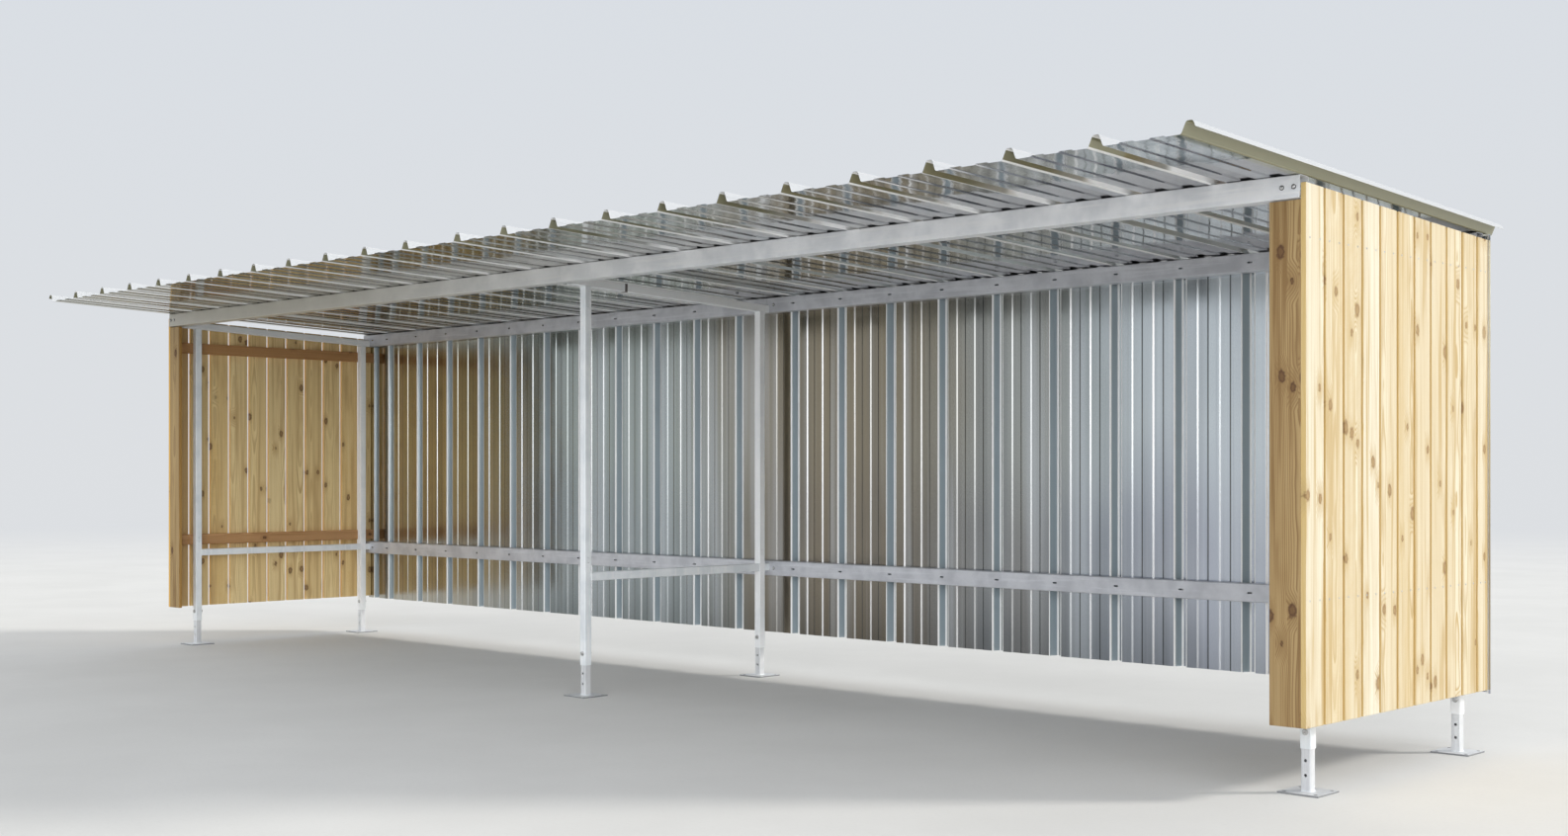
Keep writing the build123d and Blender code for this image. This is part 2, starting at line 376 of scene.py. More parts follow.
def sheet_steel(name, along, zones, split, beyond_split, web_colours, ripple, gloss, verge=None):
    """Bright zinc-coated sheet: broad zones of painted reflection, streaks along it that are partly the
    zinc's own and partly painted reflection, and painted highlights on the folds. Zones are places along X
    with their painted reflection tints. Beyond the split the tints are multiplied by one factor at the left
    end and another at the right end of the shelter. Web colours are for the outer side, the inner side and
    the inner side at the split's far end; those of the inner side are painted reflection. Ripple is how
    strongly the pans are dimpled, gloss a factor on their roughness. Only the roof has a verge: the painted
    reflection tint of its inner side beyond the side walls."""
    shader = Shader(name)
    place = shader.place()
    x_place = shader.split(place)[0]
    from_middle = shader.math("ABSOLUTE", x_place)
    run = shader.add("ShaderNodeVectorMath", {0: place, 1: tuple(along)},
                     operation="DOT_PRODUCT").outputs["Value"]

    def streaks(scale, share, detail):
        return shader.noise(shader.scaled(place, stretched(along, share)), scale, detail, 0.5)

    band, fine, cloud = streaks(6.0, 0.97, 2.0), streaks(46.0, 0.994, 2.0), streaks(2.4, 0.55, 3.0)
    worn = shader.noise(place, 260, 2.0, 0.5)
    web, bend, inner, shaded = (shader.attribute(key) for key in ("web", "bend", "inner", "shaded"))

    # Zones of painted reflection, whose borders drift with the streaks
    drifted = shader.math("ADD", x_place, shader.about_zero(streaks(1.6, 0.75, 2.0), 1.6))
    across = shader.remap(drifted, -HALF_LENGTH, HALF_LENGTH, smooth=False)
    tint = shader.ramp(across, [((x + HALF_LENGTH) / (2 * HALF_LENGTH), colour) for x, colour in zones])
    # Beyond the split, the painted reflection is multiplied by a factor that runs from the left end's to the
    # right end's
    factor = shader.mix(shader.remap(x_place, -1.0, HALF_LENGTH), *beyond_split)
    beyond = shader.remap(shader.math("ADD", run, shader.about_zero(cloud, 0.5)), *split)
    factor = shader.mix(beyond, WHITE, factor)
    # Only the inner side takes the painted reflection; the outer side is plain zinc
    colour = shader.mix(inner, (0.50, 0.52, 0.535), shader.mix(1.0, tint, factor, "MULTIPLY"))

    # Pale and dark streaks, first broad and then fine: partly the zinc's own streaking, partly painted
    # reflection
    colour = shader.mix(shader.remap(band, 0.52, 0.70, 0.0, 0.42), colour, (0.64, 0.68, 0.72))
    colour = shader.mix(shader.remap(band, 0.47, 0.30, 0.0, 0.30), colour, (0.17, 0.18, 0.19))
    colour = shader.mix(shader.remap(fine, 0.50, 0.74, 0.0, 0.11), colour, (0.72, 0.75, 0.78))
    colour = shader.mix(shader.remap(fine, 0.48, 0.28, 0.0, 0.13), colour, (0.15, 0.16, 0.17))

    # Webs of the ribs, whose inner tints are painted reflection. Under the roof they are white from a
    # slanting line to the front purlin, a painted patch of sunlight, and slate behind it as painted shade
    far = shader.math("MAXIMUM", shader.remap(from_middle, *LAST_RIB), shader.remap(run, *split))
    web_colour = shader.mix(far, web_colours[1], web_colours[2])
    if verge:
        start = shader.remap(x_place, -3.0, 3.0, 0.46, 0.70, smooth=False)
        wedge = shader.remap(shader.math("ADD", run, start), 0.0, 0.05)
        web_colour = shader.mix(wedge, web_colour, WHITE)
        web_colour = shader.mix(shader.remap(run, *FRONT_PURLIN, 0.0, 0.75), web_colour, SLATE)
    colour = shader.mix(web, colour, shader.mix(inner, web_colours[0], web_colour))

    # Painted highlights on the folds and on the swages' flanks that face +X, painted shade on those that
    # face -X, the verge's painted reflection and small worn spots
    glint = shader.math("MULTIPLY", shader.attribute("glint"), shader.remap(x_place, -2.5, 1.5, 0.30, 0.75))
    glint = shader.math("MULTIPLY", glint, shader.remap(streaks(4.0, 0.96, 1.0), 0.40, 0.60, 0.35, 1.3))
    fold_highlight = shader.mix(inner, (0.60, 0.61, 0.62), WHITE)
    colour = shader.mix(shader.math("MAXIMUM", bend, glint), colour, fold_highlight)
    # Painted shade on the swage flanks that face -X
    colour = shader.mix(shader.math("MULTIPLY", shaded, 0.75), colour, (0.10, 0.11, 0.11))
    # Painted reflection on the verge's inner side, beyond the side walls
    if verge:
        outside = shader.math("MULTIPLY", shader.remap(from_middle, *SIDE_WALL), inner)
        colour = shader.mix(outside, colour, verge)
    colour = shader.mix(shader.remap(worn, 0.60, 0.78, 0.0, 0.10), colour, (0.30, 0.31, 0.32))

    # Wide waves, patches of dimples across the sheet and fine streaks
    narrow = tuple(Vector((1, 1, 1)) * 3.0 + 25.0 * along)
    dimples = shader.noise(shader.scaled(place, narrow), 1.0, 1.0, 0.4)
    patch = shader.remap(shader.noise(shader.scaled(place, (1.7, 0.4, 0.4)), 1.0, 2.0, 0.5), 0.45, 0.62)
    normal = shader.bump(cloud, 0.012, 0.35)
    normal = shader.bump(shader.math("MULTIPLY", dimples, patch), 0.0060, ripple, normal)
    normal = shader.bump(fine, 0.0003, 0.22 * gloss, normal)
    roughness = shader.remap(shader.math("ADD", band, shader.math("MULTIPLY", worn, 0.4)), 0.4, 1.0,
                             0.12 * gloss, 0.25 * gloss)
    matt = shader.math("MAXIMUM", shader.math("MULTIPLY", glint, 0.55), shader.math("MULTIPLY", web, 0.65))
    matt = shader.math("MAXIMUM", matt, shader.math("MULTIPLY", bend, 0.92))
    return shader.finish(Base_Color=colour, Metallic=shader.math("SUBTRACT", 1.0, matt), Roughness=roughness,
                         Normal=normal)


def dipped_steel(name, base, shade, roughness, along=X, metallic=0.7, left=None):
    """Hot-dip galvanised steel: matt bloom, soft clouds, faint runs along the piece and a few specks.
    Base plates' side faces are dark, partly as bare sheared steel and partly as painted shade. Left is a
    warmer, darker tone that takes over towards the left end: a painted reflection."""
    shader = Shader(name)
    place = shader.place()
    cell = shader.add("ShaderNodeTexVoronoi", {"Vector": place, "Scale": 110.0, "Randomness": 1.0})
    spangle = shader.add("ShaderNodeSeparateColor", {"Color": cell.outputs["Color"]}).outputs[0]
    cloud = shader.noise(place, 7, 3.0, 0.55)
    runs = shader.noise(shader.scaled(place, stretched(along, 0.95)), 42, 3.0, 0.6)
    speck = shader.noise(place, 380, 2.0, 0.5)

    pale = tuple(min(1.0, value * 1.14) for value in base)
    colour = shader.mix(shader.remap(cloud, 0.36, 0.62), shade, base)
    colour = shader.mix(shader.remap(runs, 0.50, 0.70, 0.0, 0.6), colour, pale)
    colour = shader.mix(shader.remap(spangle, 0.2, 1.0, 0.0, 0.12), colour, shade)
    # Painted reflection: a warmer, darker tone towards the left end
    if left:
        colour = shader.mix(shader.remap(shader.split(place)[0], 1.6, -2.6, 0.0, 0.85), colour, left)
    colour = shader.mix(shader.remap(speck, 0.68, 0.76, 0.0, 0.30), colour, (0.26, 0.26, 0.27))
    # Side faces of base plates are darkened: partly bare sheared steel, partly painted shade
    colour = shader.mix(shader.math("MULTIPLY", shader.attribute("cut"), 0.8), colour, (0.16, 0.165, 0.17))
    normal = shader.bump(cloud, 0.0015, 0.3)
    normal = shader.bump(runs, 0.0005, 0.3, normal)
    normal = shader.bump(speck, 0.0002, 0.2, normal)
    rough = shader.remap(shader.math("ADD", runs, shader.math("MULTIPLY", spangle, 0.3)),
                         0.3, 1.0, roughness - 0.08, roughness + 0.10)
    return shader.finish(Base_Color=colour, Metallic=metallic, Roughness=rough, Normal=normal)


def bright_steel(name):
    """Zinc-plated fasteners with fine brush marks and dull stains."""
    shader = Shader(name)
    place = shader.place()
    brush = shader.noise(place, 900, 2.0, 0.6)
    stain = shader.noise(place, 70, 3.0, 0.6)
    colour = shader.mix(shader.remap(stain, 0.45, 0.70), (0.66, 0.66, 0.66), (0.40, 0.39, 0.37))
    return shader.finish(
        Base_Color=colour, Metallic=1.0, Roughness=shader.remap(brush, 0.3, 0.7, 0.24, 0.42),
        Normal=shader.bump(brush, 0.0001, 0.3),
    )


def rubber(name):
    """Sealing washers under the sheet screws."""
    shader = Shader(name)
    grain = shader.noise(shader.place(), 600, 2.0, 0.6)
    colour = shader.mix(grain, (0.035, 0.035, 0.036), (0.075, 0.074, 0.072))
    return shader.finish(
        Base_Color=colour, Roughness=shader.remap(grain, 0.3, 0.7, 0.65, 0.85),
        Normal=shader.bump(grain, 0.0002, 0.3),
    )


def pine(name, early, late, knot_colour, knots=0.5, contrast=1.0, ring_gap=0.0045, knot_size=1.0):
    """Sawn softwood. The map "log" holds the place across and along the log, "pith" the depth and seed.
    Knots is the share of places that may hold one, contrast how strongly rings and stains show, and the
    size of a knot a factor on its radius."""
    shader = Shader(name)
    maps = [shader.add("ShaderNodeUVMap", uv_map=key).outputs[0] for key in ("log", "pith")]
    log, pith = (shader.split(coordinates) for coordinates in maps)
    across, along, depth, seed = log[0], log[1], pith[0], pith[1]
    place = shader.add("ShaderNodeCombineXYZ", {0: across, 1: along, 2: depth}).outputs[0]

    # Knots: a row of places across the log at each whorl, kept where their random value is high
    cells = shader.scaled(place, (24.0, 2.5, 0))
    voronoi = shader.add("ShaderNodeTexVoronoi", {"Vector": cells, "Scale": 1.0, "Randomness": 0.30},
                         voronoi_dimensions="2D")
    offset = shader.add("ShaderNodeVectorMath", {0: cells, 1: voronoi.outputs["Position"]},
                        operation="SUBTRACT").outputs[0]
    metres = shader.scaled(offset, (1 / 24.0, 0.62 / 2.5, 0))
    distance = shader.length(metres)
    chance = shader.add("ShaderNodeSeparateColor", {"Color": voronoi.outputs["Color"]}).outputs
    present = shader.remap(chance[0], 1.0 - knots, 1.04 - knots)
    radius = shader.remap(chance[1], 0.0, 1.0, 0.0035 * knot_size, 0.0095 * knot_size, smooth=False)
    ragged = shader.math("ADD", distance, shader.about_zero(shader.noise(place, 95, 2.0), 0.013))
    knot = shader.math("MULTIPLY", present, shader.remap(shader.math("DIVIDE", ragged, radius), 1.25, 0.7))
    halo = shader.math("MULTIPLY", present, shader.remap(distance, 0.030 * knot_size, 0.004))

    # Growth rings about the pith, which wanders along the log and flows round the knots
    wander = shader.noise(shader.scaled(place, (4.0, 1.1, 4.0)), 1.0, 3.0, 0.55)
    from_pith = shader.length(shader.scaled(place, (1, 0, 1)))
    ring = shader.math("ADD", from_pith, shader.about_zero(wander, 0.034))
    ring = shader.math("ADD", ring, shader.math("MULTIPLY", halo, 0.016))
    phase = shader.math("FRACT", shader.math("DIVIDE", ring, ring_gap))
    latewood = shader.math("MULTIPLY", shader.remap(phase, 0.30, 0.88), shader.remap(phase, 1.0, 0.93))
    years = shader.add("ShaderNodeCombineXYZ", {0: shader.math("MULTIPLY", ring, 60.0)}).outputs[0]
    broad = shader.noise(years, 1.0, 2.0, 0.6)
    fibre = shader.noise(shader.scaled(place, (900, 16, 900)), 1.0, 2.0, 0.7)
    stripe = shader.noise(shader.scaled(place, (34, 0.9, 34)), 1.0, 3.0, 0.55)
    cloud = shader.noise(shader.scaled(place, (10, 1.5, 10)), 1.0, 3.0, 0.6)
    tone = shader.add("ShaderNodeTexWhiteNoise", {"W": seed}, noise_dimensions="1D")

    # Each board has its own tone, with stains, stripes, rings, golden painted shade on its narrow faces and
    # dark knots over it
    deeper = tuple(value * factor for value, factor in zip(early, (0.88, 0.78, 0.60)))
    paler = tuple(min(0.96, value * factor) for value, factor in zip(early, (1.12, 1.20, 1.36)))
    colour = shader.mix(tone.outputs["Value"], paler, deeper)
    colour = shader.mix(shader.remap(cloud, 0.36, 0.56, 0.0, 0.5), colour, early)
    colour = shader.mix(shader.remap(cloud, 0.56, 0.74, 0.0, 0.55 * contrast), colour, late)
    colour = shader.mix(shader.remap(stripe, 0.50, 0.70, 0.0, 0.65 * contrast), colour, late)
    colour = shader.mix(shader.remap(stripe, 0.45, 0.28, 0.0, 0.55), colour, paler)
    strength = shader.remap(broad, 0.3, 0.7, 0.20 * contrast, 0.80 * contrast)
    colour = shader.mix(shader.math("MULTIPLY", latewood, strength), colour, late)
    colour = shader.mix(shader.remap(fibre, 0.55, 0.85, 0.0, 0.30), colour, late)
    colour = shader.mix(shader.math("MULTIPLY", shader.attribute("warm"), 0.9), colour, late)
    # Narrow faces take a darker golden tone: painted shade, as in the gaps between boards
    golden = tuple(value * factor for value, factor in zip(early, (0.92, 0.72, 0.36)))
    colour = shader.mix(shader.math("MULTIPLY", shader.attribute("edge"), 0.85), colour, golden)
    colour = shader.mix(shader.math("MULTIPLY", halo, 0.60), colour, late)
    colour = shader.mix(shader.math("MULTIPLY", knot, 0.92), colour, knot_colour)
    heart = shader.math("MULTIPLY", knot, shader.remap(shader.math("DIVIDE", ragged, radius), 0.75, 0.35))
    colour = shader.mix(shader.math("MULTIPLY", heart, 0.40), colour, late)

    normal = shader.bump(fibre, 0.0004, 0.35)
    normal = shader.bump(latewood, 0.0004, 0.30, normal)
    normal = shader.bump(knot, 0.0008, 0.4, normal)
    roughness = shader.remap(shader.math("ADD", fibre, latewood), 0.2, 1.6, 0.78, 0.60)
    return shader.finish(Base_Color=colour, Roughness=roughness, Normal=normal)


def seen_directly(tree):
    """1 for the camera and for what glossy and clear surfaces show, 0 for soft light."""
    rays = tree.nodes.new("ShaderNodeLightPath")
    factor = rays.outputs["Is Camera Ray"]
    for kind in ("Is Glossy Ray", "Is Transmission Ray"):
        larger = tree.nodes.new("ShaderNodeMath")
        larger.operation = "MAXIMUM"
        tree.links.new(factor, larger.inputs[0])
        tree.links.new(rays.outputs[kind], larger.inputs[1])
        factor = larger.outputs[0]
    return factor


def pale_floor():
    """Plain pale ground that melts into the backdrop far from the shelter."""
    shader = Shader("pale_floor")
    place = shader.place()
    cloud = shader.noise(place, 0.9, 4.0, 0.6)
    grain = shader.noise(place, 60, 3.0, 0.6)
    colour = shader.mix(shader.remap(cloud, 0.3, 0.7), (0.69, 0.685, 0.67), (0.73, 0.725, 0.71))
    colour = shader.mix(shader.remap(grain, 0.45, 0.75, 0.0, 0.20), colour, (0.62, 0.615, 0.605))
    shader.finish(Base_Color=colour, Roughness=0.9, Normal=shader.bump(grain, 0.001, 0.3))
    away = shader.remap(shader.length(place), 8.0, 30.0)
    far = shader.math("MULTIPLY", away, seen_directly(shader.tree))
    backdrop = shader.add("ShaderNodeEmission", {"Color": BACKDROP, "Strength": 1.0})
    blend = shader.add("ShaderNodeMixShader", {0: far, 1: shader.surface.outputs[0], 2: backdrop.outputs[0]})
    output = shader.tree.nodes["Material Output"]
    shader.tree.links.new(blend.outputs[0], output.inputs["Surface"])
    return shader.material


# Zone tints, inner web colours and the verge tint are painted reflection. Beyond the split the wall's foot
# is darker, and the roof's overhang brighter towards the right end
wall_steel = sheet_steel(
    "wall_sheet_steel", along=Z,
    zones=((-2.9, OLIVE), (-1.9, MOSS), (-0.9, MOSS), (0.0, BROWN), (0.8, BROWN), (1.9, SLATE), (3.0, SKY)),
    split=(1.30, 0.70), beyond_split=((0.84, 0.85, 0.92), (0.62, 0.61, 0.67)),
    web_colours=((0.58, 0.60, 0.61), (0.50, 0.57, 0.61), (0.44, 0.51, 0.55)), ripple=0.0, gloss=1.0,
)
roof_steel = sheet_steel(
    "roof_sheet_steel", along=Y,
    zones=((-3.5, (0.34, 0.33, 0.29)), (0.0, ASH), (3.0, (0.33, 0.33, 0.345))),
    split=(-0.72, -0.92), beyond_split=((1.05, 1.05, 0.96), (2.8, 2.8, 2.75)),
    web_colours=((0.68, 0.685, 0.69), (0.52, 0.52, 0.49), OCHRE), ripple=0.10, gloss=0.42, verge=OCHRE,
)
channel_steel = dipped_steel("channel_steel", (0.70, 0.71, 0.75), (0.57, 0.58, 0.62), 0.42, X, 0.5)
# The front purlin's finish is a brighter copy of channel_steel, as painted light, with a painted reflection
# towards the left end
painted_lit_channel_steel = dipped_steel("painted_lit_channel_steel", (0.95, 0.96, 0.98), (0.80, 0.82, 0.85), 0.40, X,
                                   0.2, left=(0.46, 0.43, 0.35))
tube_steel = dipped_steel("tube_steel", (0.91, 0.94, 0.96), (0.80, 0.84, 0.87), 0.44, Z, 0.15)
# A brighter copy of tube_steel for the rafters and rear posts, which stand in the roof's shade: painted
# light
painted_lit_tube_steel = dipped_steel("painted_lit_tube_steel", (0.97, 0.98, 0.99), (0.90, 0.92, 0.94), 0.44, Y, 0.0)
foot_steel = dipped_steel("foot_steel", (0.76, 0.77, 0.78), (0.66, 0.67, 0.69), 0.50, Z, 0.3)
band_steel = dipped_steel("band_steel", (0.26, 0.23, 0.22), (0.17, 0.15, 0.15), 0.55)
bolt_steel = bright_steel("bolt_steel")
seal = rubber("seal_rubber")
board_pine = pine("board_pine", (0.715, 0.64, 0.475), (0.51, 0.365, 0.165), (0.27, 0.155, 0.06),
                  knots=0.40, contrast=1.45, knot_size=1.8)
# The left boards' pine is a warmer, lifted copy of the board pine: painted light against the shade inside
# the shelter
inner_pine = pine("inner_pine", (0.86, 0.66, 0.33), (0.56, 0.36, 0.15), (0.16, 0.075, 0.028),
                  knots=0.36, contrast=1.1, knot_size=1.5)
# The corner boards' pine is darker and browner than the board pine: partly the wood's own tone, partly
# painted shade
corner_pine = pine("corner_pine", (0.42, 0.285, 0.125), (0.25, 0.145, 0.052), (0.09, 0.036, 0.014),
                   knots=0.55, contrast=1.8, knot_size=1.7)
rail_pine = pine("rail_pine", (0.50, 0.27, 0.11), (0.33, 0.155, 0.055), (0.09, 0.035, 0.015),
                 knots=0.4, ring_gap=0.0035)


# Sheets

def wave_at(across, along):
    """Slight outward waviness of a pan, the same for sheets that lap."""
    return SHEET_WAVE * (0.5 + 0.5 * noise.noise(Vector((across * 4.2, along * 2.6, 0.5))))


def make_sheet(node, material, slot, outward, along, flanks_glint):
    """A profiled sheet with rounded folds and slightly wavy pans, its faces marked for the finish:
    webs, bends for painted highlights, the inner side, swage flanks for painted shade, and swage flanks that
    may take a painted glint."""
    bm = cad_copy(node)
    web = bm.faces.layers.float.new("web")
    bend = bm.faces.layers.float.new("bend")
    inner = bm.faces.layers.float.new("inner")
    shaded = bm.faces.layers.float.new("shaded")
    glint = bm.faces.layers.float.new("glint")
    folds = bend_edges(bm, SHEET_GAUGE * 2)
    steep = [edge for edge in folds if edge.calc_face_angle() > STEEP_FOLD]
    gentle = [edge for edge in folds if edge not in steep]
    for face in bevel(bm, steep, RIB_BEND, 3):
        face[bend] = 1.0
    bevel(bm, gentle, STIFFENER_BEND, 3)
    bm.normal_update()
    for face in bm.faces:
        tilt = face.normal.dot(X)
        face[inner] = float(face.normal.dot(outward) < 0)
        face[shaded] = float(face[bend] == 0 and -WEB_TILT < tilt < -SWAGE_TILT)
        if face[bend] == 0 and abs(tilt) > WEB_TILT and face_width(face) > LEAST_WEB:
            face[web] = 1.0
        elif SWAGE_TILT < tilt < WEB_TILT and face[bend] == 0:
            face[glint] = float(flanks_glint)

    # The waves fade out up the ribs, so that the ribs stay straight
    bmesh.ops.subdivide_edges(bm, edges=long_edges(bm), cuts=SHEET_STATIONS, use_grid_fill=True)
    heights = [vert.co.dot(outward) for vert in bm.verts]
    lowest, rib_height = min(heights), max(heights) - min(heights)
    for vert in bm.verts:
        share = (vert.co.dot(outward) - lowest - RIB_FOOT) / (rib_height - 2 * RIB_FOOT)
        share = min(1.0, max(0.0, share))
        vert.co += outward * wave_at(vert.co.x, vert.co.dot(along)) * (1 - share)
    add_piece(node + "_formed", bm, material, slot, node)


def ribs_of(node, outward):
    """Places along X of a sheet's ribs, read from the points on their tops."""
    points = [vert.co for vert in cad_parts[node].data.vertices]
    top = max(point.dot(outward) for point in points)
    spots = sorted(point.x for point in points if point.dot(outward) > top - RIB_TOP)
    ribs = [[spots[0]]]
    for spot in spots[1:]:
        if spot - ribs[-1][-1] > RIB_APART:
            ribs.append([])
        ribs[-1].append(spot)
    return [(group[0] + group[-1]) / 2 for group in ribs]


def all_ribs(start, outward):
    """Places of all ribs of the wall or the roof, each once."""
    nodes = [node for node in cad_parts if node.startswith(start)]
    places = sorted(rib for node in nodes for rib in ribs_of(node, outward))
    return [rib for rib, following in zip(places, places[1:] + [math.inf]) if following - rib > RIB_APART]


def roof_directions():
    """Fall of the roof, as the middle posts' heights give it, and the ways down along it and out of it."""
    front, rear = box_of("post_middle_front")[1], box_of("post_middle_rear")[1]
    slope = math.atan((front.z - rear.z) / (rear.y - front.y))
    down = Vector((0, math.cos(slope), -math.sin(slope)))
    out = Vector((0, math.sin(slope), math.cos(slope)))
    return slope, down, out


ROOF_SLOPE, ROOF_DOWN, ROOF_OUT = roof_directions()


def make_sheets():
    for node in sorted(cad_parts):
        if node.startswith("wall_s"):
            make_sheet(node, wall_steel, "wall_sheet", Y, Z, True)
        elif node.startswith("roof_sheet"):
            make_sheet(node, roof_steel, "roof_sheet", ROOF_OUT, ROOF_DOWN, False)


# Channels and tubes

def make_channel(node, material, slots):
    """A lipped channel with rounded bends and, where it has them, a slot beside each rib."""
    bm = cad_copy(node)
    bends = bend_edges(bm, CHANNEL_GAUGE * 1.2)
    outer = [edge for edge in bends if edge.is_convex]
    inner = [edge for edge in bends if not edge.is_convex]
    bevel(bm, outer, CHANNEL_OUTER_BEND, 4)
    bevel(bm, inner, CHANNEL_OUTER_BEND - CHANNEL_GAUGE, 4)
    low, high = box_of(node)
    cutters = bmesh.new()
    for x in slots:
        centre = Vector((x, low.y, (low.z + high.z) / 2))
        stadium(cutters, centre, X, Z, CHANNEL_GAUGE * 1.5, SLOT_LENGTH, SLOT_HEIGHT)
    if slots:
        bm = drill(bm, cutters)
    add_piece(node + "_formed", bm, material, "channel", node)


def make_tube(node, material, slot, holes=()):
    """A tube piece with eased arrises and, on the side towards +X, drilled holes.
    The side faces of its base plate, where it has one, are marked to be dark: partly bare sheared steel,
    partly painted shade."""
    bm = cad_copy(node)
    joined = [edge for edge in bm.edges if len(edge.link_faces) == 2]
    arrises = [edge for edge in joined
               if edge.calc_face_angle(0) > ARRIS_ANGLE and edge.calc_length() > LEAST_ARRIS]
    bevel(bm, arrises, TUBE_EASE, 2)
    cut = bm.faces.layers.float.new("cut")
    bm.normal_update()
    for face in bm.faces:
        face[cut] = float(abs(face.normal.z) < 0.5 and face.calc_center_median().z < PLATE)
    low, high = box_of(node)
    cutters = bmesh.new()
    for height in holes:
        centre = Vector((high.x, (low.y + high.y) / 2, height))
        stadium(cutters, centre, Y, Z, POST_HOLE_DEPTH, POST_HOLE * 2, POST_HOLE * 2, 8)
    if holes:
        bm = drill(bm, cutters)
    add_piece(node + "_dressed", bm, material, slot, node)


def make_frames():
    furthest = box_of("wall_rail")[1].x - SLOT_FROM_END
    slots = [rib + SLOT_BESIDE_RIB for rib in all_ribs("wall_s", Y)]
    slots = [x for x in slots if SLOT_FROM_SPLICE < abs(x) < furthest]
    make_channel("wall_rail", channel_steel, slots)
    make_channel("rear_purlin", channel_steel, slots)
    make_channel("front_purlin", painted_lit_channel_steel, [])
    for name in FRAMES:
        for row in ("front", "rear"):
            # The rear posts take the brighter copy of the tube steel: painted light
            finish = tube_steel if row == "front" else painted_lit_tube_steel
            make_tube(f"post_{name}_{row}", finish, "frame_tube", POST_HOLE_HEIGHTS)
            make_tube(f"foot_{name}_{row}", foot_steel, "feet")
        make_tube(f"tie_{name}", tube_steel, "frame_tube")
        make_tube(f"rafter_{name}", painted_lit_tube_steel, "frame_tube")


# Fasteners and welds

def add_fasteners(name, bm, slot):
    """A piece of many small turned fasteners: steel first, rubber seals or dark seats second."""
    piece = add_piece(name, bm, bolt_steel, slot)
    piece.data.materials.append(seal)


def sheet_screw(bm, place, axis):
    """Self-drilling screw: rubber seal, flange and hexagonal head."""
    turned(bm, place, axis, SEAL, SCREW_SIDES, 1)
    turned(bm, place + axis * FLANGE_SEAT, axis, SCREW_FLANGE, SCREW_SIDES)
    turned(bm, place + axis * HEX_SEAT, axis, SCREW_HEX, HEX_SIDES)


def beside_rib(rib, channel):
    """Place of a screw on the right of a rib, or on its left where the channel ends before that."""
    place = rib + SCREW_BESIDE_RIB
    return place if place < box_of(channel)[1].x - SCREW_TO_END else rib - SCREW_BESIDE_RIB


def make_sheet_screws():
    """Screws beside each rib: through the wall into both channels, through the roof into both purlins."""
    bm = bmesh.new()
    face = box_of("rear_purlin")[1].y + SHEET_GAUGE + SHEET_WAVE
    for rib in all_ribs("wall_s", Y):
        for channel in ("wall_rail", "rear_purlin"):
            height = box_of(channel)[1].z - SCREW_BELOW_TOP
            sheet_screw(bm, Vector((beside_rib(rib, channel), face, height)), Y)
    add_fasteners("wall_screws", bm, "wall_sheet")

    low, high = box_of("roof_sheet_left_2")
    bm = bmesh.new()
    for rib in all_ribs("roof_sheet", ROOF_OUT):
        for channel in ("front_purlin", "rear_purlin"):
            first, last = box_of(channel)
            y = (first.y + last.y) / 2
            z = low.z + (high.y - y) * math.tan(ROOF_SLOPE) + SHEET_GAUGE + SHEET_WAVE
            sheet_screw(bm, Vector((beside_rib(rib, channel), y, z)), ROOF_OUT)
    add_fasteners("roof_screws", bm, "roof_sheet")


def make_frame_bolts():
    """Bolts that hold the posts on their feet and the channels together."""
    bm = bmesh.new()
    for name in FRAMES:
        for row in ("front", "rear"):
            low, high = box_of(f"post_{name}_{row}")
            x = (low.x + high.x) / 2
            for y, axis, head in ((low.y, -Y, HEX_BOLT), (high.y, Y, NUT_AND_END)):
                place = Vector((x, y, FOOT_BOLT_HEIGHT))
                turned(bm, place, axis, WASHER, ROUND_SIDES)
                turned(bm, place + axis * BOLT_SEAT, axis, head, HEX_SIDES)
    low, high = box_of("front_purlin")
    places = [(side * x, low.y, (low.z + high.z) / 2) for side in (-1, 1) for x in PURLIN_BOLTS]
    for channel in ("rear_purlin", "wall_rail"):
        first, last = box_of(channel)
        places += [(side * SPLICE_BOLT, first.y, (first.z + last.z) / 2) for side in (-1, 1)]
    for place in places:
        turned(bm, Vector(place), -Y, HEAD_SEAT, ROUND_SIDES, 1)
        turned(bm, Vector(place) - Y * SNAP_SEAT, -Y, SNAP_HEAD, ROUND_SIDES)
    add_fasteners("frame_bolts", bm, "channel")


def make_board_screws():
    """Two screws where each side board crosses a rail."""
    bm = bmesh.new()
    for side, sign in SIDES.items():
        rails = cad_copy(f"side_rails_{side}")
        heights = [(min(v.co.z for v in group) + max(v.co.z for v in group)) / 2 for group in islands(rails)]
        boards = cad_copy(f"side_boards_{side}")
        low, high = box_of(f"side_boards_{side}")
        face = high.x if sign > 0 else low.x
        for group in islands(boards):
            edges = min(v.co.y for v in group), max(v.co.y for v in group)
            for y in (edges[0] + WOOD_SCREW_FROM_EDGE, edges[1] - WOOD_SCREW_FROM_EDGE):
                for z in heights:
                    turned(bm, Vector((face, y, z)), X * sign, WOOD_SCREW, WOOD_SCREW_SIDES)
        rails.free()
        boards.free()
    add_fasteners("board_screws", bm, "timber_board")


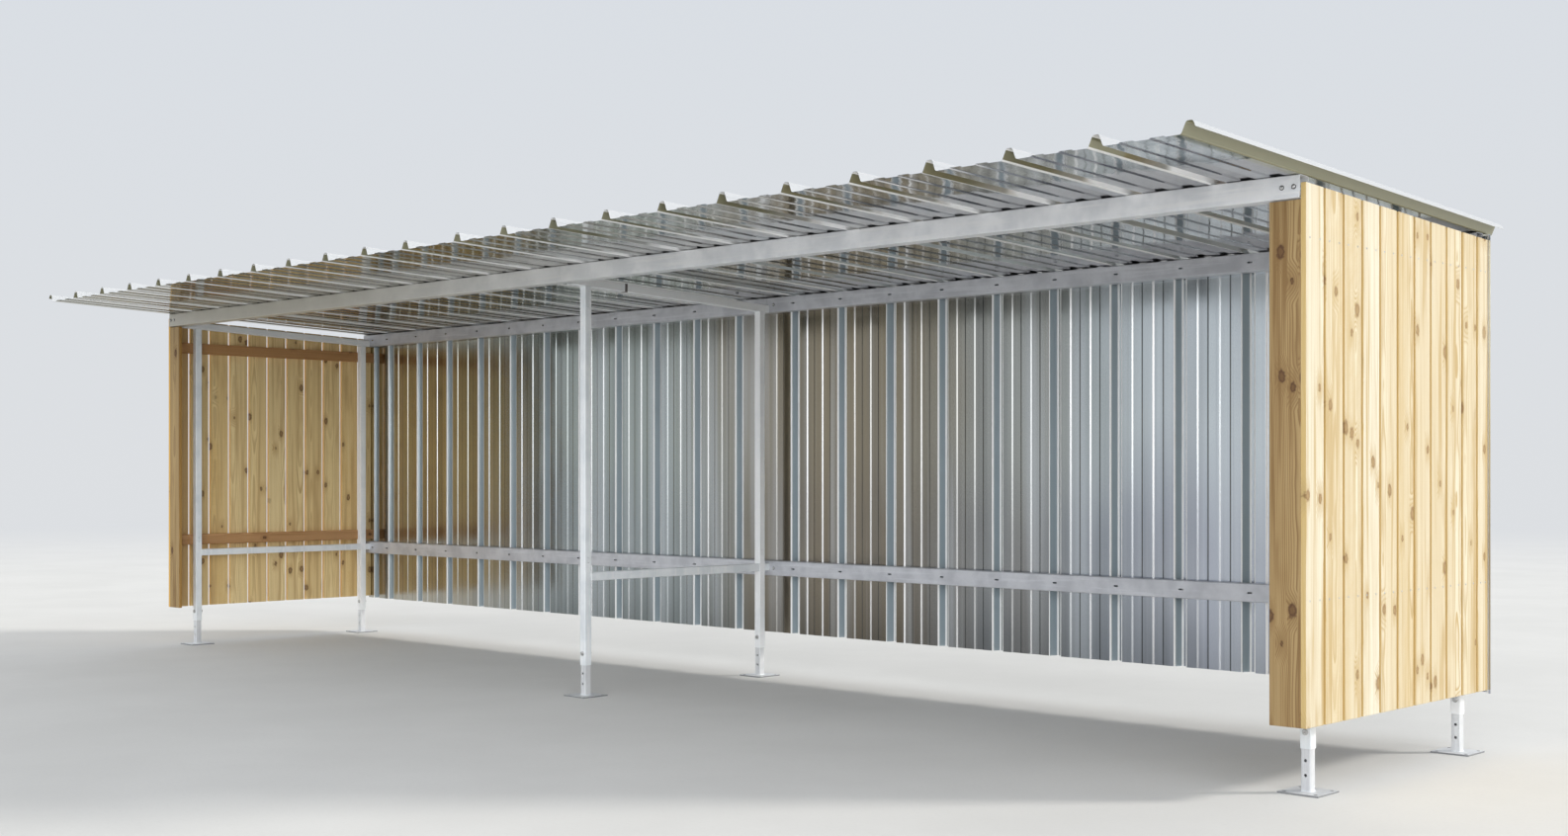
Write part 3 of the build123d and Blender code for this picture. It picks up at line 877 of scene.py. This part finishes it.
def weld(bm, corners, normal, radius=BEAD):
    """A rippled bead round a closed run of corners."""
    turns = [math.pi * 2 * side / BEAD_SIDES for side in range(BEAD_SIDES)]
    rings = []
    for start, end in zip(corners, corners[1:] + corners[:1]):
        steps = max(2, round((end - start).length / BEAD_STEP))
        outward = (end - start).normalized().cross(normal)
        for number in range(steps):
            place = start.lerp(end, number / steps)
            swell = radius * (0.85 + 0.3 * (len(rings) % 2) + 0.2 * noise.noise(place * 300))
            rings.append([bm.verts.new(place + (outward * math.cos(turn) + normal * math.sin(turn)) * swell)
                          for turn in turns])
    join_rings(bm, rings)


def square(centre, first, second, half):
    """Corners of a square about a centre."""
    return [centre + first * a * half + second * b * half for a, b in ((-1, -1), (1, -1), (1, 1), (-1, 1))]


def make_welds():
    """Beads round the feet on their plates, at the ends of the ties and under the rafters."""
    bm = bmesh.new()
    for name in FRAMES:
        tie_low, tie_high = box_of(f"tie_{name}")
        height = (tie_low.z + tie_high.z) / 2
        for row, facing in (("front", Y), ("rear", -Y)):
            low, high = box_of(f"post_{name}_{row}")
            middle = (low + high) / 2
            weld(bm, square(Vector((middle.x, middle.y, PLATE)), X, Y, FOOT_WELD), Z)
            half = (high.y - low.y) / 2
            weld(bm, square(Vector((middle.x, middle.y, height)) + facing * half, X, Z, TUBE_WELD), facing)
            top = Vector((middle.x, middle.y, high.z - RAFTER_WELD_DEPTH))
            weld(bm, square(top, X, Y, TUBE_WELD), Z, SMALL_BEAD)
    add_piece("weld_beads", bm, tube_steel, "frame_tube", flat_above=80)


def make_rafter_band():
    """Thin dark sleeve round the middle rafter, where the rafter crosses the middle of the depth."""
    low, high = box_of("rafter_middle")
    share = (0.0 - low.y) / (high.y - low.y)
    rise = TUBE / math.cos(ROOF_SLOPE)
    centre = Vector((0, 0, high.z - share * (high.z - low.z - rise) - rise / 2))
    bm = bmesh.new()
    rings = []
    for step, grow in BAND:
        corners = square(centre + ROOF_DOWN * step, X, ROOF_OUT, BAND_HALF + grow)
        rings.append([bm.verts.new(corner) for corner in corners])
    join_rings(bm, rings)
    add_piece("rafter_middle_band", bm, band_steel, "frame_tube")


# Timber

def islands(bm):
    """Vertices of each solid in a bmesh, by their index; the solids in order along Y and then X and Z."""
    bm.verts.index_update()
    left, groups = set(bm.verts), []
    while left:
        group, ahead = set(), [next(iter(left))]
        while ahead:
            vert = ahead.pop()
            if vert in group:
                continue
            group.add(vert)
            ahead += [edge.other_vert(vert) for edge in vert.link_edges]
        left -= group
        groups.append(sorted(group, key=lambda vert: vert.index))
    return sorted(groups, key=lambda group: tuple(round(sum(v.co[i] for v in group) / len(group), 4)
                                                  for i in (1, 0, 2)))


def make_timber(node, material, slot, across, depth, along, seed, warm_boards=()):
    """Boards with eased arrises; each gets its own place in a log, which the grain follows.
    Narrow faces are marked as edges, and the boards whose numbers are given as warm."""
    bm = cad_copy(node)
    chance = random.Random(seed)
    bevel(bm, list(bm.edges), BOARD_ARRIS, 3)
    bmesh.ops.subdivide_edges(bm, edges=long_edges(bm), cuts=BOARD_STATIONS, use_grid_fill=True)
    edge = bm.faces.layers.float.new("edge")
    bm.normal_update()
    for face in bm.faces:
        face[edge] = float(abs(face.normal.dot(across)) > 0.9)
    warm = bm.faces.layers.float.new("warm")
    log = bm.loops.layers.uv.new("log")
    pith = bm.loops.layers.uv.new("pith")
    for number, group in enumerate(islands(bm)):
        centre = sum((vert.co for vert in group), Vector()) / len(group)
        aside = chance.uniform(-PITH_ASIDE, PITH_ASIDE)
        behind = chance.choice((-1, 1)) * chance.uniform(*PITH_DEPTH)
        start = seed + number * LOG_STEP
        for vert in group:
            place = vert.co - centre
            where = Vector((place.dot(across) + aside, place.dot(along) + start))
            inside = Vector((place.dot(depth) + behind, seed + number))
            for loop in vert.link_loops:
                loop[log].uv = where
                loop[pith].uv = inside
                loop.face[warm] = float(number in warm_boards)
    add_piece(node + "_sawn", bm, material, slot, node)


def make_timbers():
    """Boards and rails of both sides. The left boards show their inner face, the first of them warmer."""
    for side, boards, warm, seed in (("left", inner_pine, (0,), 40), ("right", board_pine, (), 0)):
        make_timber(f"side_boards_{side}", boards, "timber_board", Y, X, Z, seed + 1, warm)
        make_timber(f"corner_board_{side}", corner_pine, "timber_board", X, Y, Z, seed + 21)
        make_timber(f"side_rails_{side}", rail_pine, "timber_rail", Z, X, Y, seed + 31)


make_sheets()
make_frames()
make_sheet_screws()
make_frame_bolts()
make_welds()
make_rafter_band()
make_timbers()
make_board_screws()


# Ground, light and camera

def make_floor():
    bm = bmesh.new()
    bmesh.ops.create_grid(bm, x_segments=8, y_segments=8, size=FLOOR_HALF)
    mesh = bpy.data.meshes.new("floor")
    bm.to_mesh(mesh)
    bm.free()
    mesh.materials.append(pale_floor())
    floor = bpy.data.objects.new("floor", mesh)
    bpy.context.scene.collection.objects.link(floor)


def make_world():
    """Pale backdrop for the eye and the metal, and an even soft light."""
    world = bpy.data.worlds.new("studio")
    bpy.context.scene.world = world
    world.use_nodes = True
    tree = world.node_tree
    direction = tree.nodes.new("ShaderNodeTexCoord").outputs["Generated"]
    split = tree.nodes.new("ShaderNodeSeparateXYZ")
    tree.links.new(direction, split.inputs[0])
    ramp = tree.nodes.new("ShaderNodeValToRGB")
    for element, (position, colour) in zip(ramp.color_ramp.elements, ((0.0, BACKDROP), (0.7, BACKDROP_TOP))):
        element.position = position
        element.color = (*colour, 1)
    tree.links.new(split.outputs[2], ramp.inputs[0])
    shown = tree.nodes.new("ShaderNodeBackground")
    tree.links.new(ramp.outputs[0], shown.inputs["Color"])
    light = tree.nodes["Background"]
    light.inputs["Color"].default_value = (*SOFT_LIGHT, 1)
    light.inputs["Strength"].default_value = SOFT_STRENGTH
    blend = tree.nodes.new("ShaderNodeMixShader")
    tree.links.new(seen_directly(tree), blend.inputs[0])
    tree.links.new(light.outputs[0], blend.inputs[1])
    tree.links.new(shown.outputs[0], blend.inputs[2])
    tree.links.new(blend.outputs[0], tree.nodes["World Output"].inputs["Surface"])


def make_lamp(name, energy, spread, colour, towards):
    """A far lamp of a given angular size that shines towards a direction."""
    data = bpy.data.lights.new(name, "SUN")
    data.energy = energy
    data.angle = math.radians(spread)
    data.color = colour
    lamp = bpy.data.objects.new(name, data)
    bpy.context.scene.collection.objects.link(lamp)
    lamp.rotation_mode = "QUATERNION"
    lamp.rotation_quaternion = Vector(towards).to_track_quat("-Z", "Y")


def make_camera():
    data = bpy.data.cameras.new("camera")
    data.sensor_width = 36.0
    data.lens = 41.27
    data.shift_y = 0.0339
    data.clip_start, data.clip_end = 0.05, 300.0
    camera = bpy.data.objects.new("camera", data)
    camera.location = (6.7032, -5.8583, 1.0876)
    camera.rotation_euler = (math.radians(90), 0, 0.7636)
    bpy.context.scene.collection.objects.link(camera)
    bpy.context.scene.camera = camera


make_floor()
make_world()
make_lamp("key", energy=1.95, spread=10, colour=(1.0, 0.965, 0.90), towards=(-0.62, -0.62, -0.50))
make_lamp("fill", energy=2.05, spread=80, colour=(0.97, 0.985, 1.0), towards=(-0.69, 0.69, -0.24))
make_camera()
bpy.context.scene.view_settings.view_transform = "Standard"
